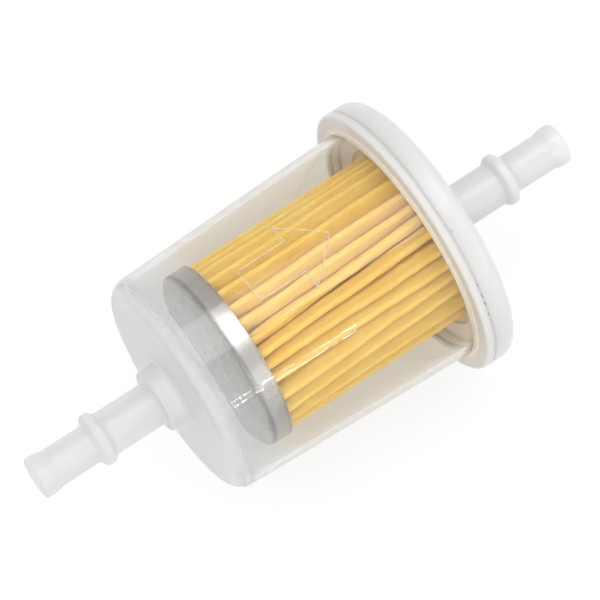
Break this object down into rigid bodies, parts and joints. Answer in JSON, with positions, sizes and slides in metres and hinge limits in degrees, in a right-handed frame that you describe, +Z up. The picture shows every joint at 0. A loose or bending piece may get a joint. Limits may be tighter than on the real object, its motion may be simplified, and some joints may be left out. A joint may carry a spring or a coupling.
{
  "type": "in-line fuel filter",
  "caption": "In-line fuel filter: clear drafted bowl welded to a milky lid, pleated paper element with a metal end cap, stepped hose nipple on each end.",
  "frame": {"origin": "on the filter's axis, half way between the tips of its two nipples", "axes": "+X along the filter's axis, the way the fuel flows, from the inlet at the bowl to the outlet at the lid; +Z up with the filter lying level"},
  "size_m": [0.099, 0.0466, 0.0466],
  "materials": {
    "clear_plastic": "clear, moulded",
    "milky_plastic": "milky, moulded",
    "weld": "melted and set",
    "tinplate": "pressed tinplate",
    "potting": "set resin",
    "filter_paper": "resin-treated filter paper"
  },
  "bodies": {
    "root": {"bowl": "clear_plastic", "lid": "milky_plastic", "weld_bead": "weld", "end_cap": "tinplate", "cap_potting": "potting", "pleated_paper": "filter_paper", "seam_adhesive": "potting", "lid_potting": "potting"}
  },
  "joints": []
}
